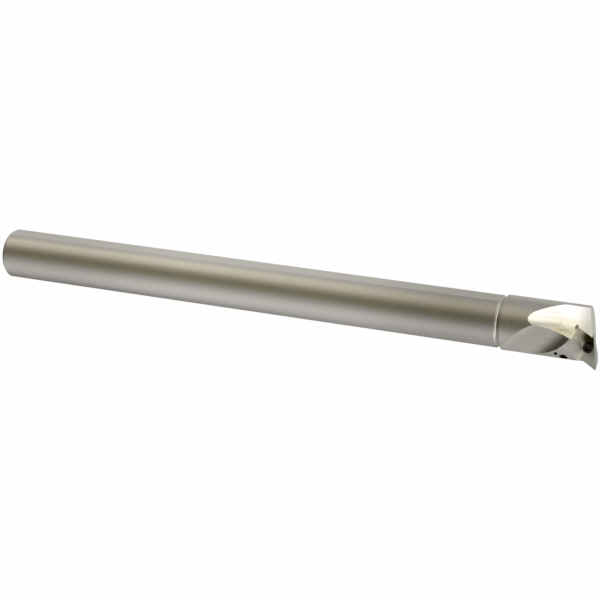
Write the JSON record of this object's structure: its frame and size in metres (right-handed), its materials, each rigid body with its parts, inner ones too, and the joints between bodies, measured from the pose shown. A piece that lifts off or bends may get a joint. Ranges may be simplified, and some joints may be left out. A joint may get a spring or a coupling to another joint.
{
  "type": "boring bar",
  "caption": "Round-shank indexable boring bar with clamping flats, a relieved cutting head with chip scoops, an empty insert seat and its clamp screw.",
  "frame": {"origin": "centre of the shank's rear end face", "axes": "+X along the bar's axis from the rear end to the cutting head, +Z the normal of the upper clamping flat, -Y the rake side that the insert seat opens to; the nose points to -Z"},
  "size_m": [0.1989, 0.0168, 0.0208],
  "materials": {
    "bar_steel": "ground and satin-plated tool steel, bright in the milled scoops",
    "screw_steel": "black-oxide screw steel"
  },
  "bodies": {
    "root": {"bar": "bar_steel", "clamp_screw": "screw_steel"}
  },
  "joints": []
}
